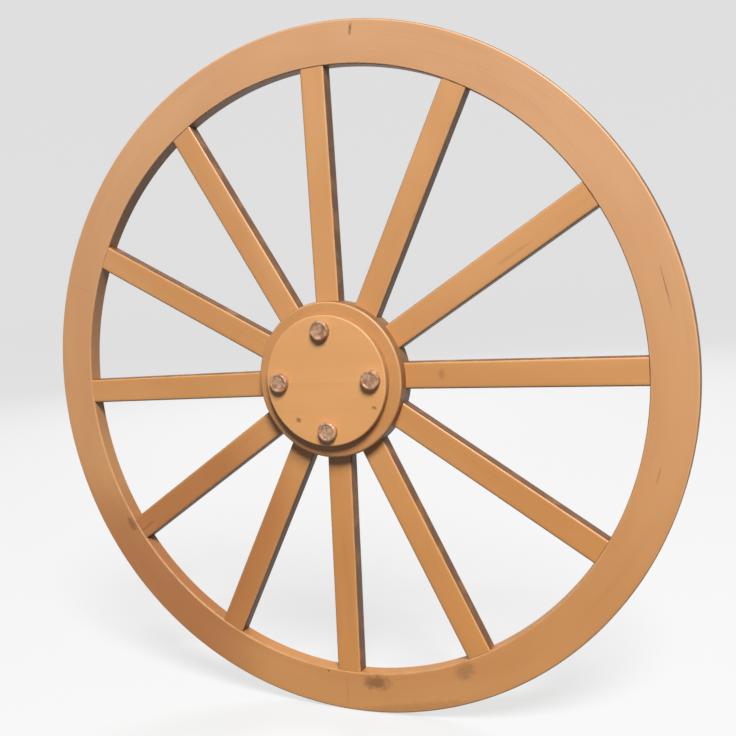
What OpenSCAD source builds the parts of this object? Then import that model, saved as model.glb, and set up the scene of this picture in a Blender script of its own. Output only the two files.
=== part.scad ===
// Wooden cart wheel with twelve spokes, a six-piece rim and a capped hub that turns on a steel sleeve.
// Every piece is drawn lying on the bench, face up, and then stood upright with its face towards -Y.

/* [Rim] */
// Outside diameter of the wheel
wheel_d = 762; // [600:2:960]
// Width of the rim, measured along the radius
rim_w = 46; // [40:1:70]
// Thickness of the rim, front to back
rim_t = 18; // [16:1:30]
// Radius on the rim's outer edges
rim_round = 2.5; // [0.5:0.5:4]
// Radius on the rim's inner edges
rim_in_round = 1.5; // [0.5:0.5:3]

/* [Spokes] */
// Width of a spoke's face
spoke_w = 29; // [22:0.5:34]
// How far a spoke's face lies behind the rim's face
spoke_setback = 0.5; // [0.5:0.5:2]
// Radius on the long edges of a spoke
spoke_round = 2.5; // [0.5:0.5:3]
// Width of the tenons at both ends of a spoke
tenon_w = 18; // [12:0.5:20]
// Thickness of the tenons
tenon_t = 8; // [6:0.5:10]
// Length of the tenon that enters the hub
foot_tenon = 24; // [12:1:24]
// Length of the tenon that enters the rim
tip_tenon = 26; // [14:1:28]

/* [Hub] */
// Diameter of the hub
hub_d = 172; // [164:1:230]
// Thickness of the hub
hub_t = 30; // [26:1:60]
// Radius on the hub's front edge
hub_round = 3; // [1:0.5:5]
// Diameter of the cap
cap_d = 144; // [138:1:160]
// Thickness of the cap
cap_t = 9; // [6:0.5:14]
// Radius on the cap's front edge
cap_round = 2; // [1:0.5:4]

/* [Cap bolts] */
// Diameter of the circle that the four bolts stand on
bolt_circle = 110; // [91:1:112]
// Thread diameter of a bolt
bolt_d = 10; // [8:1:12]
// Diameter of a bolt's round head
head_d = 22; // [18:0.5:26]
// Height of the head
head_h = 6.5; // [4:0.5:9]
// Width of a nut across its flats
nut_flats = 16; // [13:0.5:19]
// Height of a nut
nut_h = 8; // [6:0.5:11]
// Diameter of a washer
washer_d = 24; // [20:1:30]
// Thickness of a washer
washer_t = 2; // [1:0.5:3]
// How far a bolt stands out of its nut
thread_end = 2; // [1:0.5:5]

/* [Axle] */
// Bore of the sleeve, where the axle goes
axle_d = 20; // [16:0.5:24]
// Wall of the sleeve
sleeve_wall = 4; // [3:0.5:5]
// Wall of the axle box
box_wall = 5; // [4:0.5:8]
// Diameter of the sleeve's front collar
collar_d = 42; // [38:1:50]
// Thickness of the collar
collar_t = 3; // [2:0.5:5]
// Diameter of the axle box's rear flange
flange_d = 66; // [60:1:80]
// Thickness of the axle box's rear flange
flange_t = 3; // [2:0.5:5]
// How far the sleeve stands out behind the wheel
sleeve_proud = 2; // [1:0.5:6]

/* [Dowels] */
// Diameter of the dowels between the felloes
dowel_d = 9; // [6:0.5:10]
// Length of a dowel
dowel_l = 40; // [24:1:50]

/* [Fits] */
// Gap round every glued wooden joint
glue_gap = 0.1; // [0.05:0.05:0.3]
// Gap round the axle box in the hub
press_gap = 0.02; // [0.01:0.01:0.05]
// Running clearance on the radius between the sleeve and the axle box
run_gap = 0.05; // [0.02:0.01:0.1]
// End play on each side of the collar
end_play = 0.4; // [0.3:0.1:0.8]
// Clearance on the radius round a bolt in its hole
hole_gap = 0.3; // [0.2:0.1:0.5]

/* [Hidden] */
$fn = 96;

spokes = 12;
felloes = 6;
bolts = 4;
spoke_step = 360 / spokes;
felloe_step = 360 / felloes;

// The spokes were set by hand and stand a little out of true. These say how far each one's foot and tip
// stray from their even places, in degrees against the clock, for the top spoke and then clockwise.
foot_stray = [0, -2, 0, 0.5, 1, -1, 0, 0, 1.5, 2.5, 4.5, 3.5];
tip_stray = [-0.5, 1.5, 0.5, -0.5, -3, -4, -1.5, 1.5, 2.5, 1, 2, 0.5];

rim_r = wheel_d / 2;
rim_in = rim_r - rim_w;
spoke_t = rim_t - 2 * spoke_setback;
hub_r = hub_d / 2;
hub_back = -rim_t / 2;
hub_front = hub_back + hub_t;
cap_front = hub_front + cap_t;
sleeve_r = axle_d / 2 + sleeve_wall;
box_in = sleeve_r + run_gap;
box_out = box_in + box_wall;
recess_r = collar_d / 2 + end_play;
recess_d = collar_t + 2 * end_play;
box_front = hub_front - recess_d;
sleeve_back = hub_back - sleeve_proud;
nut_back = hub_back - washer_t - nut_h;

// Places that follow from the sizes
function even_place(k) = 90 - spoke_step * k;
function on_circle(r, a) = [r * cos(a), r * sin(a), 0];
function foot_point(k) = on_circle(hub_r, even_place(k) + foot_stray[k]);
function tip_point(k) = on_circle(rim_in, even_place(k) + tip_stray[k]);
function spoke_run(k) = tip_point(k) - foot_point(k);
function spoke_angle(k) = atan2(spoke_run(k)[1], spoke_run(k)[0]);

// Stands a piece up from the bench: its face turns towards -Y and its top towards +Z
module upright() {
    rotate([90, 0, 0]) children();
}

// Moves to spoke k's foot, with +X running along the spoke
module at_spoke(k) {
    translate(foot_point(k)) rotate([0, 0, spoke_angle(k)]) children();
}

// Moves to each cap bolt
module at_bolts() {
    for (i = [0 : bolts - 1])
        rotate([0, 0, 90 - i * 360 / bolts]) translate([bolt_circle / 2, 0, 0]) children();
}

// Moves to the joint at the start of felloe i, with +X running outwards
module at_joint(i) {
    rotate([0, 0, even_place(2 * i) + spoke_step / 2]) children();
}

// Rectangle with round corners, w by h, centred. The corners on its left have radius r_left, the others r.
module round_rect(w, h, r, r_left) {
    translate([r_left - w / 2, -h / 2]) square([w - r_left - r, h]);
    translate([-w / 2, r_left - h / 2]) square([w / 2, h - 2 * r_left]);
    translate([0, r - h / 2]) square([w / 2, h - 2 * r]);
    for (y = [-1, 1]) {
        translate([w / 2 - r, y * (h / 2 - r)]) circle(r);
        translate([r_left - w / 2, y * (h / 2 - r_left)]) circle(r_left);
    }
}

// Disc from z0 to z1 whose front edge has radius r
module round_disc(d, z0, z1, r) {
    rotate_extrude() {
        translate([0, z0]) square([d / 2, z1 - r - z0]);
        translate([0, z0]) square([d / 2 - r, z1 - z0]);
        translate([d / 2 - r, z1 - r]) intersection() {
            circle(r);
            square(r);
        }
    }
}

// Bar along +X from x0 to x1, w wide and t thick, centred on the wheel's middle plane
module bar(x0, x1, w, t) {
    translate([x0, -w / 2, -t / 2]) cube([x1 - x0, w, t]);
}

// Both tenons of spoke k. With a gap they are the holes that the tenons go into.
module tenons(k, gap = 0) {
    run = norm(spoke_run(k));
    w = tenon_w + 2 * gap;
    t = tenon_t + 2 * gap;
    at_spoke(k) {
        bar(-foot_tenon - gap, foot_tenon, w, t);
        bar(run - tip_tenon, run + tip_tenon + gap, w, t);
    }
}

module spoke(k) {
    run = norm(spoke_run(k));
    color([0.80, 0.55, 0.33]) upright() {
        intersection() {
            difference() {
                at_spoke(k) translate([-hub_r / 4, 0, 0]) rotate([90, 0, 90])
                    linear_extrude(run + hub_r / 2) round_rect(spoke_w, spoke_t, spoke_round, spoke_round);
                cylinder(r = hub_r + glue_gap, h = 2 * hub_t, center = true);
            }
            cylinder(r = rim_in - glue_gap, h = 2 * hub_t, center = true);
        }
        tenons(k);
    }
}

// Dowel across the joint at the start of felloe i. With a gap it is the hole for it.
module dowel(i, gap = 0) {
    at_joint(i) translate([rim_r - rim_w / 2, 0, 0]) rotate([90, 0, 0])
        cylinder(d = dowel_d + 2 * gap, h = dowel_l + 2 * gap, center = true);
}

module felloe(i) {
    color([0.82, 0.58, 0.36]) upright() difference() {
        rotate([0, 0, even_place(2 * i) - 3 * spoke_step / 2]) rotate_extrude(angle = felloe_step)
            translate([rim_r - rim_w / 2, 0]) round_rect(rim_w, rim_t, rim_round, rim_in_round);
        tenons(2 * i, glue_gap);
        tenons(2 * i + 1, glue_gap);
        dowel(i, glue_gap);
        dowel((i + 1) % felloes, glue_gap);
    }
}

module felloe_dowels() {
    color([0.70, 0.52, 0.33]) upright() for (i = [0 : felloes - 1]) dowel(i);
}

module bolt_holes() {
    at_bolts() translate([0, 0, -hub_t]) cylinder(d = bolt_d + 2 * hole_gap, h = 3 * hub_t);
}

module hub() {
    color([0.76, 0.50, 0.29]) upright() difference() {
        round_disc(hub_d, hub_back, hub_front, hub_round);
        for (k = [0 : spokes - 1]) tenons(k, glue_gap);
        bolt_holes();
        translate([0, 0, hub_back - 1]) cylinder(r = box_out + press_gap, h = hub_t + 2);
        translate([0, 0, hub_back - 1]) cylinder(d = flange_d + 2 * glue_gap, h = flange_t + 1);
        translate([0, 0, box_front]) cylinder(r = recess_r, h = recess_d + 1);
    }
}

module hub_cap() {
    color([0.84, 0.60, 0.38]) upright() difference() {
        round_disc(cap_d, hub_front, cap_front, cap_round);
        bolt_holes();
    }
}

module cap_bolts() {
    head_round = head_h / 3;
    color([0.66, 0.53, 0.45]) upright() at_bolts() {
        round_disc(head_d, cap_front, cap_front + head_h, head_round);
        translate([0, 0, nut_back - thread_end])
            cylinder(d = bolt_d, h = cap_front + head_round - nut_back + thread_end);
    }
}

module cap_washers() {
    color([0.55, 0.50, 0.45]) upright() at_bolts() translate([0, 0, hub_back - washer_t]) difference() {
        cylinder(d = washer_d, h = washer_t);
        translate([0, 0, -1]) cylinder(d = bolt_d + 2 * hole_gap, h = washer_t + 2);
    }
}

module cap_nuts() {
    color([0.50, 0.46, 0.42]) upright() at_bolts() translate([0, 0, nut_back]) difference() {
        cylinder(d = nut_flats / cos(30), h = nut_h, $fn = 6);
        translate([0, 0, -1]) cylinder(r = bolt_d / 2 + run_gap, h = nut_h + 2);
    }
}

module axle_box() {
    color([0.33, 0.31, 0.30]) upright() difference() {
        union() {
            translate([0, 0, hub_back]) cylinder(r = box_out, h = box_front - hub_back);
            translate([0, 0, hub_back]) cylinder(d = flange_d, h = flange_t - glue_gap);
        }
        translate([0, 0, hub_back - 1]) cylinder(r = box_in, h = hub_t + 2);
    }
}

module axle_sleeve() {
    collar_back = box_front + end_play;
    color([0.62, 0.62, 0.64]) upright() difference() {
        union() {
            translate([0, 0, sleeve_back]) cylinder(r = sleeve_r, h = collar_back + collar_t - sleeve_back);
            translate([0, 0, collar_back]) cylinder(d = collar_d, h = collar_t);
        }
        translate([0, 0, sleeve_back - 1]) cylinder(d = axle_d, h = collar_back - sleeve_back + 1);
    }
}

felloe(0);  // felloe_1
felloe(1);  // felloe_2
felloe(2);  // felloe_3
felloe(3);  // felloe_4
felloe(4);  // felloe_5
felloe(5);  // felloe_6
spoke(0);  // spoke_01
spoke(1);  // spoke_02
spoke(2);  // spoke_03
spoke(3);  // spoke_04
spoke(4);  // spoke_05
spoke(5);  // spoke_06
spoke(6);  // spoke_07
spoke(7);  // spoke_08
spoke(8);  // spoke_09
spoke(9);  // spoke_10
spoke(10);  // spoke_11
spoke(11);  // spoke_12
felloe_dowels();
hub();
hub_cap();
cap_bolts();
cap_washers();
cap_nuts();
axle_box();
axle_sleeve();
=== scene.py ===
# %% [markdown]
# # A twelve-spoke wooden cart wheel
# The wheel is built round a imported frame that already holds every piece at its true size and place.
# Each cell makes one kind of piece or one finish. The pieces are modelled again here because a real
# wheel is never as crisp as its drawing: edges are eased, boards are a hair uneven, bolts are pitted.

# %% Load the frame
import math

import bmesh
import bpy
from mathutils import Matrix, Vector, noise


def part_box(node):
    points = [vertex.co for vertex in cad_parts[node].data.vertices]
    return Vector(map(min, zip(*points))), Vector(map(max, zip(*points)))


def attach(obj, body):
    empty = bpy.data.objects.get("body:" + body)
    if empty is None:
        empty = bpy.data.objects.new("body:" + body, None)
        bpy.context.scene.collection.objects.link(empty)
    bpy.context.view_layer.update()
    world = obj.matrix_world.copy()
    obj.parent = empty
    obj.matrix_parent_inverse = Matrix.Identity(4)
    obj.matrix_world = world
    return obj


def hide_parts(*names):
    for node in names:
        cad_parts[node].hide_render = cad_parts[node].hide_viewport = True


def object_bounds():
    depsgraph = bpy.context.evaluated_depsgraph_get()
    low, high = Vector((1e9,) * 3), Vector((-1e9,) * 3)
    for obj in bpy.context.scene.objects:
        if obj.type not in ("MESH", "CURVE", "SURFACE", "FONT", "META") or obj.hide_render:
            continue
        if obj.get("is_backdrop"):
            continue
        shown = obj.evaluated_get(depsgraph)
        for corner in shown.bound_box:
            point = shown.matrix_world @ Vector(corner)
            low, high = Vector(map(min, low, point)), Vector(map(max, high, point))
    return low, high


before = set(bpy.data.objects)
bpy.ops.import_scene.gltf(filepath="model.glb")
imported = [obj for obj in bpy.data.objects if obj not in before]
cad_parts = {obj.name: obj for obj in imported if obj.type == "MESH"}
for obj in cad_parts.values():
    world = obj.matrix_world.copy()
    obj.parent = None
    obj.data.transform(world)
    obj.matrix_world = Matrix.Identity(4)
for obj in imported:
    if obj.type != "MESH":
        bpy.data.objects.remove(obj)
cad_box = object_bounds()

MM = 0.001
print("pieces in the frame:", len(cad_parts))

# %% [markdown]
# ## Reading sizes off the frame
# A wheelwright works from the axle outwards, so nearly every size is a distance from the axle's line.
# The axle lies along Y and the face of the wheel looks towards -Y. Measuring the frame's own corners
# keeps this script right when a size in the design changes.

# %% Measure the turned and bent pieces
def reach(node):
    """Least and greatest distance of a node's corners from the axle's line."""
    far = [math.hypot(v.co.x, v.co.z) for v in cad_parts[node].data.vertices]
    return min(far), max(far)


def depths(node):
    """Front and back of a node, along the axle."""
    low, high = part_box(node)
    return low.y, high.y


rim_in, rim_out = reach("felloe_1")
rim_front, rim_back = depths("felloe_1")
rim_mid = (rim_in + rim_out) / 2
rim_half = (rim_out - rim_in) / 2
hub_r = reach("hub")[1]
hub_front, hub_back = depths("hub")
cap_r = reach("hub_cap")[1]
cap_front = depths("hub_cap")[0]
print(f"rim {rim_in:.3f} to {rim_out:.3f} m, hub {hub_r:.3f} m, cap {cap_r:.3f} m")

# %% [markdown]
# A spoke is known by its centre line. The corners of its two tenons lie furthest in and furthest out,
# so the middle of each set of corners gives a point at each end of that line.

# %% Measure a spoke
class SpokeLine:
    """A spoke's centre line and section, read from its node."""

    def __init__(self, node):
        corners = [v.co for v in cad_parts[node].data.vertices]
        inner = [p for p in corners if math.hypot(p.x, p.z) < hub_r - 10 * MM]
        outer = [p for p in corners if math.hypot(p.x, p.z) > rim_in + 10 * MM]
        self.start = sum(inner, Vector()) / len(inner)
        self.end = sum(outer, Vector()) / len(outer)
        self.run = (self.end - self.start).normalized()
        self.side = self.run.cross(Vector((0, 1, 0)))
        self.half_width = max(abs((p - self.start).dot(self.side)) for p in corners)
        self.half_depth = max(abs(p.y) for p in corners)
        self.tenon_width = max(abs((p - self.start).dot(self.side)) for p in inner)
        self.tenon_depth = max(abs(p.y) for p in inner)
        self.start.y = self.end.y = 0

    def at(self, radius):
        """How far along the line, from its start, it is this far from the axle."""
        ahead = self.start.dot(self.run)
        return -ahead + math.sqrt(ahead**2 - self.start.length_squared + radius**2)


spoke_nodes = sorted(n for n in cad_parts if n.startswith("spoke"))
lines = [SpokeLine(n) for n in spoke_nodes]
print(f"{len(lines)} spokes, each {2 * lines[0].half_width:.3f} m wide")

# %% [markdown]
# ## Small tools for shader nodes
# Materials are graphs of nodes. Four helpers keep the graphs short to read: one adds a node and fills
# its sockets, one does arithmetic, one fades between two limits and one mixes colours.

# %% Shader helpers
def put(tree, kind, sockets, **settings):
    """Add a shader node, with its sockets set to values or joined to other nodes' outputs."""
    made = tree.nodes.new("ShaderNode" + kind)
    for name, value in settings.items():
        setattr(made, name, value)
    for name, value in sockets.items():
        if isinstance(value, bpy.types.NodeSocket):
            tree.links.new(value, made.inputs[name])
        else:
            made.inputs[name].default_value = value
    return made


def calc(tree, operation, *values):
    """The result of a Math node."""
    return put(tree, "Math", dict(enumerate(values)), operation=operation).outputs[0]


def fade(tree, value, start, end, low=0.0, high=1.0):
    """Goes smoothly from low to high as the value goes from start to end."""
    limits = {"Value": value, "From Min": start, "From Max": end, "To Min": low, "To Max": high}
    return put(tree, "MapRange", limits, interpolation_type="SMOOTHSTEP").outputs["Result"]


def mix(tree, factor, first, second, blend="MIX"):
    """Two colours mixed by a factor."""
    sockets = {0: factor, 6: first, 7: second}
    return put(tree, "Mix", sockets, data_type="RGBA", blend_type=blend).outputs[2]


def cloud(tree, vector, scale, w=0.0, detail=2.0, distortion=0.0):
    """Soft noise with a value near 0.5, in four dimensions so that w can move it along."""
    sockets = {"Vector": vector, "W": w, "Scale": scale, "Detail": detail, "Distortion": distortion}
    return put(tree, "TexNoise", sockets, noise_dimensions="4D").outputs[0]


def group(name, inputs, outputs):
    """Start a node group. Returns its tree, its input sockets and its output sockets."""
    tree = bpy.data.node_groups.new(name, "ShaderNodeTree")
    for way, sockets in (("INPUT", inputs), ("OUTPUT", outputs)):
        for label, kind in sockets.items():
            tree.interface.new_socket(label, in_out=way, socket_type="NodeSocket" + kind)
    begin, end = tree.nodes.new("NodeGroupInput"), tree.nodes.new("NodeGroupOutput")
    return tree, begin.outputs, end.inputs


def use(tree, node_group, **sockets):
    """Place a node group in a tree. An underscore in a socket's name stands for a space."""
    named = {label.replace("_", " "): value for label, value in sockets.items()}
    return put(tree, "Group", named, node_tree=node_group).outputs


# %% [markdown]
# ## Effect: wood figure
# Planed wood shows slow changes of tone and fine streaks that run with the grain. Every wooden piece
# stores, at each point, where that point lies in its own board: across, through and along, in metres.
# Noise stretched along the third number gives streaks that follow a bent rim as well as a straight
# spoke. The length is wound onto a circle as big as the rim, so that the pattern meets itself after
# one full turn and shows no seam.

# %% Wood figure group
def wood_figure():
    """Puts out a slow Tone, fine dark Streaks and a Height for the bump."""
    tree, given, out = group(
        "Wood figure", {"Grain": "Vector"}, {"Tone": "Float", "Streaks": "Float", "Height": "Float"}
    )
    part = put(tree, "SeparateXYZ", {"Vector": given["Grain"]}).outputs
    turn = calc(tree, "DIVIDE", part["Z"], rim_mid)

    def stretched(across_scale, along_scale, detail):
        """Noise with one scale across the board and another along it."""
        along = [
            calc(tree, "MULTIPLY", calc(tree, way, turn), rim_mid * along_scale)
            for way in ("COSINE", "SINE")
        ]
        across = calc(tree, "MULTIPLY", part["X"], across_scale)
        through = calc(tree, "MULTIPLY", part["Y"], across_scale)
        vector = put(tree, "CombineXYZ", {"X": across, "Y": through, "Z": along[0]}).outputs[0]
        return cloud(tree, vector, 1.0, along[1], detail)

    slow = stretched(22, 6, 2.0)
    bands = stretched(110, 5, 2.0)
    fine = stretched(520, 14, 3.0)
    tree.links.new(fade(tree, slow, 0.3, 0.7), out["Tone"])
    streaks = calc(tree, "MULTIPLY", fade(tree, bands, 0.5, 0.72), fade(tree, fine, 0.35, 0.65))
    tree.links.new(streaks, out["Streaks"])
    tree.links.new(calc(tree, "ADD", fine, bands), out["Height"])
    return tree


FIGURE = wood_figure()
print("group:", FIGURE.name)

# %% [markdown]
# ## Effect: worn edges
# Hands and weather rub the finish off an arris first, so the corners of old painted wood are a little
# paler. A point lies on an arris when it is near the edge of its board both across and through.

# %% Worn edges group
def worn_edges():
    """Puts out a mask that is 1 on the arrises and broken up by noise."""
    inputs = {"Section": "Vector", "Half Width": "Float", "Half Depth": "Float", "Reach": "Float"}
    tree, given, out = group("Worn edges", inputs, {"Wear": "Float"})
    part = put(tree, "SeparateXYZ", {"Vector": given["Section"]}).outputs
    near = []
    for side, half in (("X", "Half Width"), ("Y", "Half Depth")):
        away = calc(tree, "SUBTRACT", given[half], calc(tree, "ABSOLUTE", part[side]))
        share = calc(tree, "DIVIDE", away, given["Reach"])
        near.append(fade(tree, share, 1.0, 0.15))
    place = put(tree, "TexCoord", {}).outputs["Object"]
    patches = fade(tree, cloud(tree, place, 60, 0, 3.0), 0.34, 0.6, 0.25, 1.0)
    edge = calc(tree, "MULTIPLY", near[0], near[1])
    tree.links.new(calc(tree, "MULTIPLY", edge, patches), out["Wear"])
    return tree


WORN = worn_edges()
print("group:", WORN.name)

# %% [markdown]
# ## Effect: painted shade on the walls
# The sides of spokes and rim are painted darker, to stand in for the shade that falls on them. The mask
# is strong on a board's two walls and stops at their rounded corners. The outer wall and the inner wall
# have a strength each, so that the rim's inner wall gets less painted shade than its tread.

# %% Painted wall shade group
def painted_wall_shade():
    """Puts out painted shade on the walls across a board, stronger or weaker on each of the two."""
    inputs = {"Section": "Vector", "Half Width": "Float", "Outer": "Float", "Inner": "Float"}
    tree, given, out = group("Painted wall shade", inputs, {"Wall Shade": "Float"})
    across = put(tree, "SeparateXYZ", {"Vector": given["Section"]}).outputs["X"]
    place = put(tree, "TexCoord", {}).outputs["Object"]
    patches = fade(tree, cloud(tree, place, 45, 0, 2.0), 0.3, 0.55, 0.75, 1.0)
    walls = []
    for way, strength in (("SUBTRACT", "Outer"), ("ADD", "Inner")):
        away = calc(tree, way, given["Half Width"], across)
        walls.append(calc(tree, "MULTIPLY", fade(tree, away, 1.3 * MM, 0.3 * MM), given[strength]))
    both = calc(tree, "MAXIMUM", *walls)
    tree.links.new(calc(tree, "MULTIPLY", both, patches), out["Wall Shade"])
    return tree


WALL_SHADE_GROUP = painted_wall_shade()
print("group:", WALL_SHADE_GROUP.name)

# %% [markdown]
# ## Effect: darker lower left and low tint
# One side of the rim and the spokes beside it, towards the lower left, are darker, and the lower half
# is more orange than the top. Both masks are slow and soft, so they read as a gradual change and not as
# a pattern.

# %% Lower left and low tint group
LOWER_LEFT_SIDE = math.radians(225)


def lower_left_and_low_tint():
    """Puts out Lower Left, strong towards the lower left, and Low, strong at the bottom of the wheel.
    """
    tree, given, out = group("Lower left and low tint", {"Place": "Vector"}, {"Age": "Float", "Low": "Float"})
    toward = (math.cos(LOWER_LEFT_SIDE), 0, math.sin(LOWER_LEFT_SIDE))
    sockets = {0: given["Place"], 1: toward}
    ahead = put(tree, "VectorMath", sockets, operation="DOT_PRODUCT").outputs["Value"]
    far = put(tree, "VectorMath", {0: given["Place"]}, operation="LENGTH").outputs["Value"]
    share = calc(tree, "DIVIDE", ahead, calc(tree, "MAXIMUM", far, MM))
    lower_left = calc(tree, "MULTIPLY", fade(tree, share, 0.88, 0.99), fade(tree, far, 0.08, 0.2))
    drift = cloud(tree, given["Place"], 7, 0, 1.0)
    tree.links.new(calc(tree, "MULTIPLY", lower_left, fade(tree, drift, 0.25, 0.5, 0.6, 1.0)), out["Age"])
    height = put(tree, "SeparateXYZ", {"Vector": given["Place"]}).outputs["Z"]
    tree.links.new(fade(tree, height, 0.32, -0.36), out["Low"])
    return tree


LOWER_LEFT_AND_LOW = lower_left_and_low_tint()
print("group:", LOWER_LEFT_AND_LOW.name)

# %% [markdown]
# ## Effect: marks
# A used wheel has a few marks of its own: a knot, a hairline split, and dirt where it was handled or
# rolled. Each is an oval at a chosen angle and distance from the axle, with a ragged outline. Angles
# are in degrees against the clock from the three o'clock side.

# %% Marks group
# angle, share of the wheel's radius, length round the wheel and width in mm, strength
MARKS = [
    (82.0, 0.971, 4, 14, 0.90),
    (11.8, 0.948, 42, 1.6, 0.65),
    (-17.0, 0.930, 20, 1.6, 0.45),
    (-79.0, 0.985, 190, 12, 0.22),
    (-86.0, 0.908, 34, 19, 0.80),
    (-68.0, 0.907, 26, 20, 0.45),
    (-92.0, 0.940, 2, 44, 0.16),
    (160.0, 0.940, 2, 44, 0.14),
    (-96.0, 0.890, 4, 4, 0.75),
    (210.6, 0.898, 22, 12, 0.60),
    (213.0, 0.850, 4, 30, 0.40),
    (93.0, 0.107, 14, 8, 0.45),
    (229.7, 0.146, 7, 6, 0.85),
    (-28.3, 0.168, 4, 7, 0.80),
    (57.0, 0.560, 4, 60, 0.22),
    (29.5, 0.640, 4, 50, 0.22),
    (0.5, 0.330, 12, 8, 0.40),
]


def marks():
    """Puts out one mask for every mark in the list, on the front of the wheel only."""
    tree, given, out = group("Marks", {"Place": "Vector"}, {"Dirt": "Float"})
    ragged = put(
        tree,
        "TexNoise",
        {"Vector": given["Place"], "Scale": 160, "Detail": 4.0, "Roughness": 0.7},
    ).outputs[1]
    middle = put(tree, "VectorMath", {0: ragged, 1: (0.5, 0.5, 0.5)}, operation="SUBTRACT")
    total = 0.0
    for angle, share, length, width, strength in MARKS:
        turn = math.radians(angle)
        centre = Vector((math.cos(turn), 0, math.sin(turn))) * share * rim_out
        oval = put(
            tree,
            "Mapping",
            {
                "Vector": given["Place"],
                "Location": centre,
                "Rotation": (0, -turn, 0),
                "Scale": (width * MM / 2, 1, length * MM / 2),
            },
            vector_type="TEXTURE",
        ).outputs[0]
        shaken = put(
            tree, "VectorMath", {0: middle.outputs[0], 1: (1.6, 0, 1.6), 2: oval},
            operation="MULTIPLY_ADD",
        ).outputs[0]
        far = put(tree, "VectorMath", {0: shaken}, operation="LENGTH").outputs["Value"]
        total = calc(tree, "MAXIMUM", fade(tree, far, 1.25, 0.35, 0.0, strength), total)
    depth = put(tree, "SeparateXYZ", {"Vector": given["Place"]}).outputs["Y"]
    front = fade(tree, depth, 0, -5 * MM)
    tree.links.new(calc(tree, "MULTIPLY", total, front), out["Dirt"])
    return tree


MARKED = marks()
print("group:", MARKED.name, "with", len(MARKS), "marks")

# %% [markdown]
# ## Effect: pitted metal
# Forged heads and cast iron are never one colour. Two sizes of noise give a mottled skin, and the
# finer one also feeds the bump.

# %% Pitted metal group
def pitted_metal():
    """Puts out a Mottle mask, a finer Pits mask and a Height."""
    inputs = {"Place": "Vector", "Scale": "Float"}
    tree, given, out = group(
        "Pitted metal", inputs, {"Mottle": "Float", "Pits": "Float", "Height": "Float"}
    )
    large = cloud(tree, given["Place"], given["Scale"], 0, 3.0, 1.2)
    finer = calc(tree, "MULTIPLY", given["Scale"], 4.0)
    small = cloud(tree, given["Place"], finer, 3, 3.0, 0.4)
    tree.links.new(fade(tree, large, 0.36, 0.64), out["Mottle"])
    tree.links.new(fade(tree, small, 0.56, 0.7), out["Pits"])
    tree.links.new(calc(tree, "MULTIPLY_ADD", large, 0.6, small), out["Height"])
    return tree


PITTED = pitted_metal()
print("group:", PITTED.name)

# %% [markdown]
# ## Wood finish
# The timber is stained honey brown under a satin coat. The same recipe serves every wooden piece, with
# its own colours and its own half width and half depth for the worn edges.

# %% Wood materials
def rgb(red, green, blue):
    """A screen colour from 0 to 255 as the linear colour that the shader wants."""
    linear = [((c / 255 + 0.055) / 1.055) ** 2.4 for c in (red, green, blue)]
    return (*linear, 1.0)


def start_material(name):
    """A new material, with its tree and its Principled shader."""
    made = bpy.data.materials.new(name)
    made.use_nodes = True
    return made, made.node_tree, made.node_tree.nodes["Principled BSDF"]


PALE = rgb(232, 184, 132)
GRIME = rgb(88, 50, 26)
WALL_SHADE_COLOUR = rgb(66, 36, 18)
LOW_TINT = (1.0, 0.88, 0.62, 1.0)
LOWER_LEFT_TINT = (0.76, 0.66, 0.62, 1.0)


def wood(name, light, dark, half_width, half_depth, outer, inner, reach=3 * MM):
    made, tree, shader = start_material(name)
    section = put(tree, "Attribute", {}, attribute_name="section").outputs["Vector"]
    grain = put(tree, "Attribute", {}, attribute_name="grain").outputs["Vector"]
    place = put(tree, "TexCoord", {}).outputs["Object"]
    figure = use(tree, FIGURE, Grain=grain)
    wear = use(
        tree, WORN, Section=section, Half_Width=half_width, Half_Depth=half_depth, Reach=reach
    )["Wear"]
    dirt = use(tree, MARKED, Place=place)["Dirt"]
    tints = use(tree, LOWER_LEFT_AND_LOW, Place=place)
    wall_shade = use(
        tree, WALL_SHADE_GROUP, Section=section, Half_Width=half_width, Outer=outer, Inner=inner
    )["Wall Shade"]
    colour = mix(tree, figure["Tone"], dark, light)
    colour = mix(tree, calc(tree, "MULTIPLY", figure["Streaks"], 0.06), colour, GRIME)
    # Darker towards the lower left, and more orange towards the bottom of the wheel.
    colour = mix(tree, tints["Low"], colour, LOW_TINT, "MULTIPLY")
    colour = mix(tree, tints["Age"], colour, LOWER_LEFT_TINT, "MULTIPLY")
    colour = mix(tree, calc(tree, "MULTIPLY", wear, 0.45), colour, PALE)
    # Painted shade: the side walls are darkened, standing in for the shade that falls on them.
    colour = mix(tree, wall_shade, colour, WALL_SHADE_COLOUR)
    colour = mix(tree, calc(tree, "MULTIPLY", dirt, 0.75), colour, GRIME)
    tree.links.new(colour, shader.inputs["Base Color"])
    rough = calc(tree, "MULTIPLY_ADD", figure["Tone"], 0.08, 0.46)
    rough = calc(tree, "MULTIPLY_ADD", dirt, 0.2, rough)
    tree.links.new(calc(tree, "MULTIPLY_ADD", wear, -0.06, rough), shader.inputs["Roughness"])
    height = calc(tree, "MULTIPLY_ADD", dirt, -1.5, figure["Height"])
    bump = put(tree, "Bump", {"Height": height, "Strength": 0.35, "Distance": 0.25 * MM})
    tree.links.new(bump.outputs[0], shader.inputs["Normal"])
    return made


half_rim_depth = (rim_back - rim_front) / 2
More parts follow.
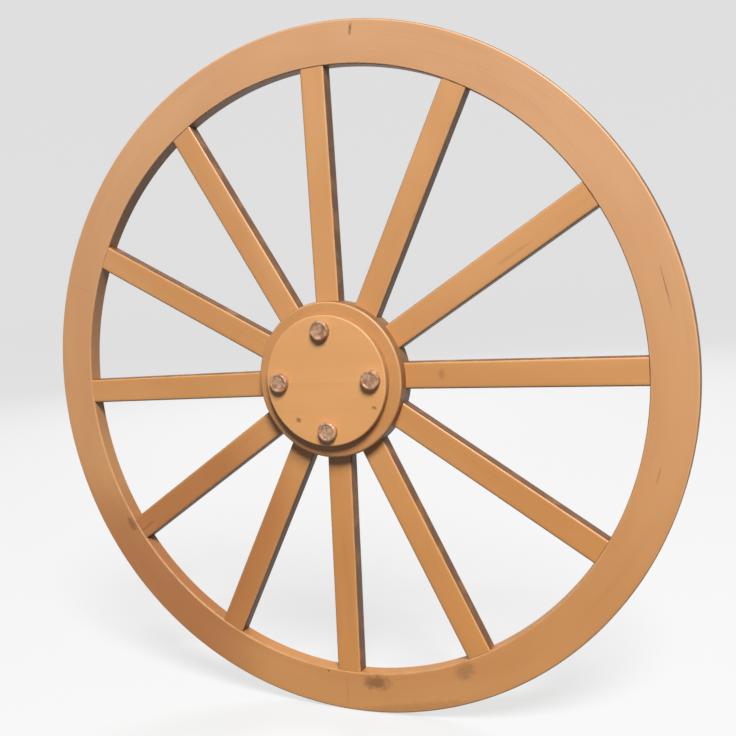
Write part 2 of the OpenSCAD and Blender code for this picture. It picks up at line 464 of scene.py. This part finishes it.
# The last two numbers of each wood are the strengths of the painted wall shade on its outer and inner
# walls.
RIM_WOOD = wood(
    "rim wood", rgb(211, 158, 111), rgb(205, 150, 103), rim_half, half_rim_depth, 0.85, 0.25
)
SPOKE_WOOD = wood(
    "spoke wood",
    rgb(211, 153, 97),
    rgb(203, 144, 88),
    lines[0].half_width,
    lines[0].half_depth,
    0.85,
    0.85,
)
HUB_WOOD = wood(
    "hub wood", rgb(203, 148, 94), rgb(196, 139, 86), hub_r, (hub_back - hub_front) / 2, 0.65, 0
)
CAP_WOOD = wood(
    "cap wood", rgb(227, 170, 112), rgb(221, 163, 105), cap_r, (hub_front - cap_front) / 2, 0.5, 0
)
DOWEL_WOOD = wood("dowel wood", rgb(205, 165, 115), rgb(185, 142, 92), 1.0, 1.0, 0, 0)
print("wood finishes:", [m.name for m in (RIM_WOOD, SPOKE_WOOD, HUB_WOOD, CAP_WOOD, DOWEL_WOOD)])

# %% [markdown]
# ## Metal finish
# The round bolt heads carry an old, pinkish brown skin over steel. The box is black iron, and the
# sleeve, washers and nuts are plain steel gone dull.

# %% Metal materials
def metal(name, light, dark, metallic, rough, scale, bump_depth):
    made, tree, shader = start_material(name)
    place = put(tree, "TexCoord", {}).outputs["Object"]
    skin = use(tree, PITTED, Place=place, Scale=scale)
    colour = mix(tree, skin["Mottle"], dark, light)
    colour = mix(tree, calc(tree, "MULTIPLY", skin["Pits"], 0.14), colour, rgb(70, 46, 34))
    tree.links.new(colour, shader.inputs["Base Color"])
    shader.inputs["Metallic"].default_value = metallic
    tree.links.new(
        calc(tree, "MULTIPLY_ADD", skin["Mottle"], -0.14, rough), shader.inputs["Roughness"]
    )
    bump = put(tree, "Bump", {"Height": skin["Height"], "Strength": 0.6, "Distance": bump_depth})
    tree.links.new(bump.outputs[0], shader.inputs["Normal"])
    return made


BOLT_STEEL = metal("bolt skin", rgb(205, 163, 128), rgb(150, 108, 80), 0.15, 0.5, 170, 0.3 * MM)
WASHER_STEEL = metal("washer steel", rgb(172, 158, 146), rgb(112, 96, 84), 0.8, 0.52, 120, 0.2 * MM)
NUT_STEEL = metal("nut steel", rgb(164, 148, 134), rgb(98, 80, 68), 0.8, 0.54, 120, 0.2 * MM)
BOX_IRON = metal("box iron", rgb(84, 78, 74), rgb(46, 42, 40), 0.7, 0.6, 140, 0.4 * MM)
SLEEVE_STEEL = metal("sleeve steel", rgb(190, 190, 192), rgb(150, 150, 154), 1.0, 0.38, 60, 0.1 * MM)
print("metal finishes:", [m.name for m in (BOLT_STEEL, WASHER_STEEL, NUT_STEEL, BOX_IRON)])

# %% [markdown]
# ## Finishing a piece
# Every piece ends the same way: doubles merged, faces turned outwards, smooth shading that breaks at
# real corners, a material, the body that it rides on, and the frame's nodes that it stands for, which
# are hidden. Flat faces next to rounded edges are shaded by face area, so that they stay flat.

# %% Finish helper
def finish(bm, name, material, body, slot, *nodes, section=None, grain=None):
    """Turn a bmesh into a finished piece that rides on a body and stands for its nodes."""
    bmesh.ops.remove_doubles(bm, verts=bm.verts, dist=0.001 * MM)
    bmesh.ops.recalc_face_normals(bm, faces=bm.faces)
    for label, place in (("section", section), ("grain", grain)):
        if place:
            layer = bm.verts.layers.float_vector.new(label)
            for vert in bm.verts:
                vert[layer] = place(vert.co)
    open_edges = sum(not edge.is_manifold for edge in bm.edges)
    mesh = bpy.data.meshes.new(name)
    bm.to_mesh(mesh)
    bm.free()
    mesh.shade_smooth()
    mesh.set_sharp_from_angle(angle=math.radians(35))
    mesh.materials.append(material)
    piece = bpy.data.objects.new(name, mesh)
    bpy.context.scene.collection.objects.link(piece)
    weighted = piece.modifiers.new("flat faces", "WEIGHTED_NORMAL")
    weighted.keep_sharp = True
    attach(piece, body)
    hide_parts(*nodes)
    print(f"{name}: {len(mesh.polygons)} faces, {open_edges} open edges")
    return piece


# %% [markdown]
# ## Chisels and drills
# Mortises and bolt holes are cut the way they are on the bench, by taking a tool's shape away from the
# piece. The tools are small meshes, and one Boolean takes them all away at once.

# %% Cutting helpers
def cut(bm, tools):
    """Take the shape in the bmesh tools away from the bmesh bm. Both are used up."""
    pair = []
    for label, source in (("work", bm), ("tools", tools)):
        bmesh.ops.recalc_face_normals(source, faces=source.faces)
        mesh = bpy.data.meshes.new(label)
        source.to_mesh(mesh)
        source.free()
        made = bpy.data.objects.new(label, mesh)
        bpy.context.scene.collection.objects.link(made)
        pair.append(made)
    boolean = pair[0].modifiers.new("cut", "BOOLEAN")
    boolean.operation, boolean.solver, boolean.object = "DIFFERENCE", "EXACT", pair[1]
    bpy.context.view_layer.update()
    result = bmesh.new()
    result.from_object(pair[0], bpy.context.evaluated_depsgraph_get())
    for made in pair:
        mesh = made.data
        bpy.data.objects.remove(made)
        bpy.data.meshes.remove(mesh)
    return result


def add_box(bm, line, start, end, half_width, half_depth):
    """Add a box that lies along a spoke's line, from start to end along it."""
    size = Matrix.Diagonal((end - start, 2 * half_depth, 2 * half_width, 1))
    axes = Matrix((line.run, (0, 1, 0), line.side)).transposed().to_4x4()
    centre = Matrix.Translation(line.start + line.run * (start + end) / 2)
    bmesh.ops.create_cube(bm, size=1, matrix=centre @ axes @ size)


def add_rod(bm, centre, axis, radius, length, segments=32):
    """Add a round rod with its middle at centre, along axis."""
    turn = axis.to_track_quat("Z", "Y").to_matrix().to_4x4()
    bmesh.ops.create_cone(
        bm,
        cap_ends=True,
        segments=segments,
        radius1=radius,
        radius2=radius,
        depth=length,
        matrix=Matrix.Translation(centre) @ turn,
    )


# %% [markdown]
# A knock leaves a shallow dish in the wood. Taking away the side of a large ball gives the same dish.

# %% Nicks
def add_nick(bm, angle, radius, front, width, depth):
    """Add a ball that cuts a dish of the given width and depth into a face that looks to the front."""
    ball = (width**2 / 4 + depth**2) / (2 * depth)
    centre = Vector((radius * math.cos(angle), front - ball + depth, radius * math.sin(angle)))
    bmesh.ops.create_icosphere(
        bm, subdivisions=4, radius=ball, matrix=Matrix.Translation(centre)
    )


# %% [markdown]
# ## The rim: six felloes
# The rim is six bent or sawn segments, called felloes, doweled end to end. One felloe is a section with
# eased corners, swept through a sixth of a turn: a face with its corners bevelled and then spun. The
# outer corners are rounder than the inner ones, because they are the ones that the ground wears.
# Slight changes of thickness keep the faces from looking like plate glass.

# %% Felloes
GLUE = 0.1 * MM
OUTER_ROUND = 2.6 * MM
INNER_ROUND = 1.6 * MM
SPIN_STEPS = 60
# angle in degrees, distance from the axle, width and depth in mm
RIM_NICKS = [(82.0, 370, 5, 0.5), (-96.0, 339.5, 4, 0.5)]


def uneven(across, depth, along, seed=0.0):
    """Plane a board a hair thinner here and there: new across and depth."""
    slow = noise.noise(Vector((along * 14, across * 30, seed)))
    quick = noise.noise(Vector((along * 55, across * 60, seed + 7)))
    thinner = 0.012 + 0.010 * slow + 0.004 * quick
    narrower = 0.004 + 0.003 * noise.noise(Vector((along * 22, math.copysign(3, across), seed)))
    return across * (1 - narrower), depth * (1 - thinner)


def rim_place(point):
    """Across, depth and along for a point of the rim."""
    along = math.atan2(point.z, point.x) * rim_mid
    return Vector((math.hypot(point.x, point.z) - rim_mid, point.y, along))


def span(node):
    """The angles at which a felloe starts and ends, against the clock from +X."""
    corners = [v.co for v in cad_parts[node].data.vertices]
    centre = sum(corners, Vector())
    middle = math.atan2(centre.z, centre.x)
    turns = [math.remainder(math.atan2(p.z, p.x) - middle, math.tau) for p in corners]
    return middle + min(turns), middle + max(turns)


def felloe_section(bm):
    """A face with the rim's section, at the three o'clock side, with its corners eased."""
    corners = [(rim_in, rim_front), (rim_out, rim_front), (rim_out, rim_back), (rim_in, rim_back)]
    verts = [bm.verts.new((r, y, 0)) for r, y in corners]
    bm.faces.new(verts)
    for pair, size in ((verts[1:3], OUTER_ROUND), ((verts[0], verts[3]), INNER_ROUND)):
        bmesh.ops.bevel(
            bm, geom=list(pair), offset=size, segments=5, profile=0.5, affect="VERTICES", material=-1
        )
    broad = [e for e in bm.edges if e.calc_length() > rim_half]
    bmesh.ops.subdivide_edges(bm, edges=broad, cuts=7)


def felloe(node):
    start, end = span(node)
    bm = bmesh.new()
    felloe_section(bm)
    bmesh.ops.rotate(bm, verts=bm.verts, cent=(0, 0, 0), matrix=Matrix.Rotation(-start, 3, "Y"))
    bmesh.ops.spin(
        bm,
        geom=bm.verts[:] + bm.edges[:] + bm.faces[:],
        cent=(0, 0, 0),
        axis=(0, -1, 0),
        angle=end - start,
        steps=SPIN_STEPS,
    )
    for vert in bm.verts:
        turn = math.atan2(vert.co.z, vert.co.x)
        across, depth, along = rim_place(vert.co)
        across, depth = uneven(across, depth, along)
        radius = rim_mid + across
        vert.co = (radius * math.cos(turn), depth, radius * math.sin(turn))
    tools = bmesh.new()
    middle = (start + end) / 2
    for line in lines:
        tip = math.atan2(line.end.z, line.end.x)
        if abs(math.remainder(tip - middle, math.tau)) < (end - start) / 2:
            length = (line.end - line.start).length + GLUE
            inside = line.at(rim_in) - 10 * MM
            add_box(
                tools, line, inside, length, line.tenon_width + GLUE, line.tenon_depth + GLUE
            )
    for turn in (start, end):
        out = Vector((math.cos(turn), 0, math.sin(turn)))
        along = Vector((-math.sin(turn), 0, math.cos(turn)))
        add_rod(tools, out * rim_mid, along, dowel_r + GLUE, dowel_length + 2 * GLUE)
    for angle, radius, width, depth in RIM_NICKS:
        turn = math.radians(angle)
        if abs(math.remainder(turn - middle, math.tau)) < (end - start) / 2:
            add_nick(tools, turn, radius * MM, rim_front, width * MM, depth * MM)
    return cut(bm, tools)


dowel_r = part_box("felloe_dowels")[1].y
dowel_length = 40 * MM
for node in sorted(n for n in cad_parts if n.startswith("felloe_") and n[-1].isdigit()):
    finish(
        felloe(node), f"rim_{node}", RIM_WOOD, "wheel", "rim_wood", node,
        section=rim_place, grain=rim_place,
    )

# %% [markdown]
# ## The spokes
# A spoke is a straight stick with eased edges. Its shoulders are scribed to the round of the hub and
# of the rim, and a tenon runs on past each shoulder. The end face is cut into nine parts first, so that
# the middle one can be drawn out into the tenon.

# %% Spokes
SPOKE_ROUND = 2.6 * MM
STATIONS = 36


def spoke(line):
    bm = bmesh.new()
    wide, thick = line.half_width, line.half_depth
    corners = [(-thick, -wide), (-thick, wide), (thick, wide), (thick, -wide)]
    verts = [bm.verts.new((0, y, z)) for y, z in corners]
    bm.faces.new(verts)
    bmesh.ops.bevel(
        bm, geom=verts, offset=SPOKE_ROUND, segments=4, profile=0.5, affect="VERTICES", material=-1
    )
    for axis, size in ((1, line.tenon_depth), (2, line.tenon_width)):
        for side in (-1, 1):
            plane = [0, 0, 0]
            plane[axis] = side
            where = [0, 0, 0]
            where[axis] = side * size
            bmesh.ops.bisect_plane(
                bm, geom=bm.verts[:] + bm.edges[:] + bm.faces[:], plane_co=where, plane_no=plane
            )
    near, far = line.at(hub_r), line.at(rim_in)
    made = bmesh.ops.extrude_face_region(bm, geom=bm.faces[:], use_keep_orig=True)["geom"]
    for vert in made:
        if isinstance(vert, bmesh.types.BMVert):
            vert.co.x = far - near
    long_edges = [e for e in bm.edges if e.calc_length() > (far - near) / 2]
    bmesh.ops.subdivide_edges(bm, edges=long_edges, cuts=STATIONS)
    tenon_ends = []
    for face in bm.faces[:]:
        centre = face.calc_center_median()
        flat_end = abs(face.normal.x) > 0.9
        if flat_end and abs(centre.y) < line.tenon_depth and abs(centre.z) < line.tenon_width:
            tenon_ends.append((face, centre.x > 0))
    length = (line.end - line.start).length
    for face, outer in tenon_ends:
        made = bmesh.ops.extrude_face_region(bm, geom=[face])["geom"]
        for vert in made:
            if isinstance(vert, bmesh.types.BMVert):
                vert.co.x = length - near if outer else -near
    bmesh.ops.delete(bm, geom=[face for face, outer in tenon_ends], context="FACES_ONLY")
    for vert in bm.verts:
        across, depth = uneven(vert.co.z, vert.co.y, vert.co.x, line.end.x * 10 + line.end.z * 7)
        inside = 0 <= vert.co.x <= far - near
        if inside:
            vert.co.z, vert.co.y = across, depth
        at_foot, at_tip = abs(vert.co.x) < 1e-7, abs(vert.co.x - (far - near)) < 1e-7
        if at_foot or at_tip:
            radius = hub_r if at_foot else rim_in
            ahead = line.start.dot(line.run)
            off = line.start.dot(line.side) + vert.co.z
            vert.co.x = math.sqrt(radius**2 - off**2) - ahead - near
    axes = Matrix((line.run, (0, 1, 0), line.side)).transposed().to_4x4()
    place = Matrix.Translation(line.start + line.run * near) @ axes
    bmesh.ops.transform(bm, matrix=place, verts=bm.verts)
    return bm


for number, (node, line) in enumerate(zip(spoke_nodes, lines)):
    def board(point, line=line, extra=0.0):
        away = point - line.start
        return Vector((away.dot(line.side), point.y, away.dot(line.run) + extra))

    def board_grain(point, line=line, extra=0.31 * number):
        return board(point, line, extra)

    finish(
        spoke(line), f"wheel_{node}", SPOKE_WOOD, "wheel", "spoke_wood", node,
        section=board, grain=board_grain,
    )

# %% [markdown]
# ## Turned pieces
# The hub, cap, bolt heads, washers, box and sleeve all come off a lathe. Each is a half section with
# eased corners, spun a full turn about its own axis. Where a section touches the axis, the edge on the
# axis is dropped before the spin and the pole closes by merging.

# %% Lathe helper
def turned(corners, steps=96, long_side=8 * MM):
    """Spin a half section about the axle's line. Each corner is (radius, y, rounding)."""
    bm = bmesh.new()
    verts = [bm.verts.new((r, y, 0)) for r, y, size in corners]
    bm.faces.new(verts)
    for vert, (r, y, size) in zip(verts, corners):
        if size:
            bmesh.ops.bevel(
                bm, geom=[vert], offset=size, segments=4, profile=0.5, affect="VERTICES", material=-1
            )
    bmesh.ops.delete(bm, geom=bm.faces[:], context="FACES_ONLY")
    axis = [e for e in bm.edges if all(v.co.x < 1e-7 for v in e.verts)]
    bmesh.ops.delete(bm, geom=axis, context="EDGES")
    for edge in [e for e in bm.edges if e.calc_length() > 1.5 * long_side]:
        bmesh.ops.subdivide_edges(bm, edges=[edge], cuts=int(edge.calc_length() / long_side))
    bmesh.ops.spin(
        bm,
        geom=bm.verts[:] + bm.edges[:],
        cent=(0, 0, 0),
        axis=(0, -1, 0),
        angle=math.tau,
        steps=steps,
        use_merge=True,
    )
    bmesh.ops.remove_doubles(bm, verts=bm.verts, dist=0.001 * MM)
    return bm


# %% [markdown]
# ## The hub and its cap
# The hub is a thick wooden disc. The spokes' tenons enter its edge, the cap is bolted to its face, and
# the iron box passes through its middle. A lathe leaves faint rings and a hand leaves faint waves, so
# both discs are very slightly uneven.

# %% Hub and cap
box_front, box_back = depths("axle_box")
flange_r = reach("axle_box")[1]
sleeve_in, collar_r = reach("axle_sleeve")
sleeve_front, sleeve_back = depths("axle_sleeve")
bolt_near, bolt_far = reach("cap_bolts")
bolt_circle = (bolt_near + bolt_far) / 2
head_r = (bolt_far - bolt_near) / 2
head_front, bolt_end = depths("cap_bolts")
bolt_angles = [math.radians(90 * k) for k in range(4)]
SHANK_R = 5 * MM
HOLE_GAP = 0.3 * MM
PRESS_GAP = 0.02 * MM
END_PLAY = 0.4 * MM
FLANGE_SEAT = 3 * MM
BOX_WALL_R = 19.05 * MM
BOX_BORE_R = 14.05 * MM
SLEEVE_R = 14 * MM
FLANGE_DEPTH = 2.9 * MM
COLLAR_DEPTH = 3 * MM


def disc_place(radius, front, back):
    """A function that gives radius and depth from the middle of a disc, for the worn edges."""
    middle = (front + back) / 2

    def place(point):
        return Vector((math.hypot(point.x, point.z), point.y - middle, 0))

    return place


def plank_grain(point):
    """Straight grain that runs along X, as in a plank that the disc was sawn from."""
    return Vector((point.z, point.y, point.x))


def soften(bm, size, front):
    """Lower the front face of a disc by up to the given size, in slow waves."""
    for vert in bm.verts:
        if vert.co.y < front + 3 * MM:
            wave = noise.noise(Vector((vert.co.x * 30, vert.co.z * 30, 5)))
            edge = noise.noise(Vector((vert.co.x * 120, vert.co.z * 120, 9)))
            vert.co.y += size * (0.5 + 0.5 * wave) + 0.3 * size * (0.5 + 0.5 * edge)


def bolt_holes(front, back):
    tools = bmesh.new()
    for turn in bolt_angles:
        centre = Vector((math.cos(turn), 0, math.sin(turn))) * bolt_circle
        centre.y = (front + back) / 2
        add_rod(tools, centre, Vector((0, 1, 0)), SHANK_R + HOLE_GAP, back - front + 4 * MM)
    return tools


def hub():
    bm = turned(
        [
            (collar_r + END_PLAY, hub_front, 0.6 * MM),
            (hub_r, hub_front, 3 * MM),
            (hub_r, hub_back, 2 * MM),
            (flange_r + GLUE, hub_back, 0.4 * MM),
            (flange_r + GLUE, hub_back - FLANGE_SEAT, 0),
            (BOX_WALL_R + PRESS_GAP, hub_back - FLANGE_SEAT, 0),
            (BOX_WALL_R + PRESS_GAP, box_front, 0),
            (collar_r + END_PLAY, box_front, 0),
        ]
    )
    soften(bm, 0.25 * MM, hub_front)
    tools = bolt_holes(hub_front, hub_back)
    for line in lines:
        end = line.at(hub_r) + 10 * MM
        add_box(tools, line, -GLUE, end, line.tenon_width + GLUE, line.tenon_depth + GLUE)
    return cut(bm, tools)


# the same four numbers as for the rim's nicks
CAP_NICKS = [(229.7, 55.5, 4, 0.4), (-28.3, 63.8, 4, 0.4)]


def cap():
    corners = [(0, cap_front, 0), (cap_r, cap_front, 2 * MM), (cap_r, hub_front, 0), (0, hub_front, 0)]
    bm = turned(corners)
    soften(bm, 0.2 * MM, cap_front)
    tools = bolt_holes(cap_front, hub_front)
    for angle, radius, width, depth in CAP_NICKS:
        add_nick(tools, math.radians(angle), radius * MM, cap_front, width * MM, depth * MM)
    return cut(bm, tools)


finish(
    hub(), "wheel_hub", HUB_WOOD, "wheel", "hub_wood", "hub",
    section=disc_place(hub_r, hub_front, hub_back), grain=plank_grain,
)
finish(
    cap(), "wheel_cap", CAP_WOOD, "wheel", "cap_wood", "hub_cap",
    section=disc_place(cap_r, cap_front, hub_front), grain=plank_grain,
)

# %% [markdown]
# ## Bolts, washers and nuts
# Four round-headed bolts hold the cap. A head starts as a turned disc with a soft, slightly raised
# rim and is then dented by noise, which gives the lumpy look of hammered iron. The bolts are alike, so
# one is made at the axle and copied to each place.

# %% Fasteners
def at_bolts(make):
    """Make one fastener at the axle's line and copy it to every bolt's place."""
    whole = bmesh.new()
    for number, turn in enumerate(bolt_angles):
        one = make(number)
        shift = Vector((math.cos(turn), 0, math.sin(turn))) * bolt_circle
        bmesh.ops.translate(one, verts=one.verts, vec=shift)
        mesh = bpy.data.meshes.new("one")
        one.to_mesh(mesh)
        one.free()
        whole.from_mesh(mesh)
        bpy.data.meshes.remove(mesh)
    return whole


def bolt(number):
    height = cap_front - head_front
    bm = turned(
        [
            (0, head_front + 0.7 * MM, 0),
            (head_r - 3.6 * MM, head_front + 0.7 * MM, 1.0 * MM),
            (head_r - 2.6 * MM, head_front, 0.5 * MM),
            (head_r - 1.2 * MM, head_front, 0.6 * MM),
            (head_r, head_front + 1.4 * MM, 1.0 * MM),
            (head_r, cap_front, 0.4 * MM),
            (SHANK_R, cap_front, 0),
            (SHANK_R, bolt_end, 0.8 * MM),
            (0, bolt_end, 0),
        ],
        steps=48,
        long_side=1.6 * MM,
    )
    for vert in bm.verts:
        if vert.co.y < head_front + 0.6 * height:
            lump = noise.noise(Vector((vert.co.x * 260, vert.co.z * 260, number * 4.7)))
            vert.co.y += 0.5 * MM * (0.5 + 0.5 * lump)
            vert.co.xz *= 1 - 0.02 * (0.5 + 0.5 * lump)
    return bm


def washer(number):
    front, back = depths("cap_washers")
    near, far = reach("cap_washers")
    outer = (far - near) / 2
    inner = SHANK_R + HOLE_GAP
    return turned(
        [
            (inner, front, 0.2 * MM),
            (outer, front, 0.4 * MM),
            (outer, back, 0.4 * MM),
            (inner, back, 0.2 * MM),
        ],
        steps=48,
    )


def nut(number):
    front, back = depths("cap_nuts")
    low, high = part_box("cap_nuts")
    corner_r = high.x - bolt_circle
    bm = bmesh.new()
    bmesh.ops.create_cone(
        bm,
        cap_ends=True,
        segments=6,
        radius1=corner_r,
        radius2=corner_r,
        depth=back - front,
        matrix=Matrix.Translation((0, (front + back) / 2, 0)) @ Matrix.Rotation(math.pi / 2, 4, "X"),
    )
    bmesh.ops.bevel(
        bm, geom=bm.edges[:], offset=0.5 * MM, segments=2, profile=0.5, affect="EDGES", material=-1
    )
    tools = bmesh.new()
    middle = Vector((0, (front + back) / 2, 0))
    add_rod(tools, middle, Vector((0, 1, 0)), SHANK_R + 0.05 * MM, back - front + 4 * MM)
    return cut(bm, tools)


finish(at_bolts(bolt), "wheel_bolts", BOLT_STEEL, "wheel", "bolt_steel", "cap_bolts")
finish(at_bolts(washer), "wheel_washers", WASHER_STEEL, "wheel", "washer_steel", "cap_washers")
finish(at_bolts(nut), "wheel_nuts", NUT_STEEL, "wheel", "nut_steel", "cap_nuts")

# %% [markdown]
# ## The bearing
# The cast iron box is let into the hub from behind and turns with it. The steel sleeve inside it stays
# still on the axle, and its collar keeps the wheel from sliding off.

# %% Axle box and sleeve
def axle_box():
    return turned(
        [
            (BOX_BORE_R, box_front, 0.4 * MM),
            (BOX_WALL_R, box_front, 0.4 * MM),
            (BOX_WALL_R, box_back - FLANGE_DEPTH, 0),
            (flange_r, box_back - FLANGE_DEPTH, 0),
            (flange_r, box_back, 0.5 * MM),
            (BOX_BORE_R, box_back, 0.4 * MM),
        ],
        long_side=5 * MM,
    )


def axle_sleeve():
    return turned(
        [
            (0, sleeve_front, 0),
            (collar_r, sleeve_front, 0.5 * MM),
            (collar_r, sleeve_front + COLLAR_DEPTH, 0.3 * MM),
            (SLEEVE_R, sleeve_front + COLLAR_DEPTH, 0),
            (SLEEVE_R, sleeve_back, 0.5 * MM),
            (sleeve_in, sleeve_back, 0.5 * MM),
            (sleeve_in, sleeve_front + COLLAR_DEPTH, 0),
            (0, sleeve_front + COLLAR_DEPTH, 0),
        ],
        long_side=5 * MM,
    )


finish(axle_box(), "bearing_box", BOX_IRON, "wheel", "box_iron", "axle_box")
finish(axle_sleeve(), "bearing_sleeve", SLEEVE_STEEL, "axle", "sleeve_steel", "axle_sleeve")

# %% [markdown]
# The dowels between the felloes are hidden in the rim. Their shape in the frame is already right, so
# they only take a material.

# %% Dowels
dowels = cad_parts["felloe_dowels"]
dowels.data.materials[0] = DOWEL_WOOD
print("dowels keep their shape:", dowels.name)

# %% [markdown]
# ## Floor
# A pale floor that curves up into a wall all round gives a plain ground with no horizon from any side.
# Its paper glows a little by itself, which keeps floor and wall close in tone.

# %% Floor
def backdrop():
    """A round floor whose edge curves up into a wall on every side."""
    floor_z, curve_r, bend, wall_top = cad_box[0].z, 5.0, 2.0, 9.0
    bm = bmesh.new()
    low = bm.verts.new((curve_r, 0, floor_z))
    curve = bmesh.ops.spin(
        bm,
        geom=[low],
        cent=(curve_r, 0, floor_z + bend),
        axis=(0, -1, 0),
        angle=math.pi / 2,
        steps=32,
    )
    high = [v for v in curve["geom_last"] if isinstance(v, bmesh.types.BMVert)][0]
    bm.edges.new((bm.verts.new((0, 0, floor_z)), low))
    bm.edges.new((high, bm.verts.new((curve_r + bend, 0, wall_top))))
    bmesh.ops.spin(
        bm,
        geom=bm.verts[:] + bm.edges[:],
        cent=(0, 0, 0),
        axis=(0, 0, 1),
        angle=math.tau,
        steps=128,
        use_merge=True,
    )
    bmesh.ops.remove_doubles(bm, verts=bm.verts, dist=MM)
    bmesh.ops.recalc_face_normals(bm, faces=bm.faces)
    mesh = bpy.data.meshes.new("backdrop")
    bm.to_mesh(mesh)
    bm.free()
    mesh.shade_smooth()
    sheet = bpy.data.objects.new("backdrop", mesh)
    bpy.context.scene.collection.objects.link(sheet)
    made, tree, shader = start_material("backdrop paper")
    shader.inputs["Base Color"].default_value = rgb(120, 120, 120)
    shader.inputs["Roughness"].default_value = 1.0
    shader.inputs["Specular IOR Level"].default_value = 0.0
    shader.inputs["Emission Color"].default_value = rgb(220, 220, 220)
    shader.inputs["Emission Strength"].default_value = 0.95
    mesh.materials.append(made)
    sheet.visible_diffuse = False
    sheet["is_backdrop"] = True
    return sheet


backdrop()
print("floor at", round(cad_box[0].z, 3))

# %% [markdown]
# ## Light
# One large soft light stands above and to the right of the wheel's face. A weaker one behind the wheel
# lights its back, and a faint sky fills the rest, so that undersides stay dark. The rear light is kept
# out of reflections, where it would draw a hard bright line along the upper edges of the spokes.

# %% Light
def soft_light(name, place, target, size, power, colour=(1, 1, 1)):
    data = bpy.data.lights.new(name, "AREA")
    data.shape, data.size, data.energy, data.color = "DISK", size, power, colour
    lamp = bpy.data.objects.new(name, data)
    lamp.location = place
    lamp.rotation_mode = "QUATERNION"
    lamp.rotation_quaternion = (Vector(target) - Vector(place)).to_track_quat("-Z", "Y")
    bpy.context.scene.collection.objects.link(lamp)
    return lamp


soft_light("key light", (1.87, -2.88, 3.63), (0, 0, 0), 1.9, 380)
back_light = soft_light("back light", (-1.4, 3.2, 2.6), (0, 0, 0), 1.9, 110)
back_light.visible_camera = False
back_light.visible_glossy = False
world = bpy.data.worlds.new("studio air")
bpy.context.scene.world = world
world.use_nodes = True
world.node_tree.nodes["Background"].inputs["Color"].default_value = (1, 1, 1, 1)
world.node_tree.nodes["Background"].inputs["Strength"].default_value = 0.05
bpy.context.scene.view_settings.view_transform = "Standard"

# %% [markdown]
# ## Camera
# The wheel is seen from a little to the right of its face and a little above its axle, with the camera
# turned slightly, so that the wheel seems to lean.

# %% Camera
AZIMUTH, ELEVATION, ROLL = (math.radians(d) for d in (23.89, 4.94, -4.33))
DISTANCE = 0.9705
TARGET = Vector((0.0432, -0.0090, 0.0105))


def camera():
    back = Vector(
        (
            math.sin(AZIMUTH) * math.cos(ELEVATION),
            -math.cos(AZIMUTH) * math.cos(ELEVATION),
            math.sin(ELEVATION),
        )
    )
    data = bpy.data.cameras.new("camera")
    data.lens, data.sensor_width = 43.91, 36
    made = bpy.data.objects.new("camera", data)
    made.location = TARGET + back * DISTANCE
    made.rotation_mode = "QUATERNION"
    level = (-back).to_track_quat("-Z", "Y")
    made.rotation_quaternion = level @ Matrix.Rotation(ROLL, 3, "Z").to_quaternion()
    bpy.context.scene.collection.objects.link(made)
    bpy.context.scene.camera = made
    return made


print("camera at", [round(c, 3) for c in camera().location])

# %% [markdown]
# The box round the finished pieces is kept beside the box round the frame's own pieces. The two should
# agree to a fraction of a millimetre, with the pieces inside.

visual_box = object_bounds()
boxes = {
    "cad": [list(corner) for corner in cad_box],
    "visual": [list(corner) for corner in visual_box],
}
print("cad box:", boxes["cad"])
print("visual box:", boxes["visual"])
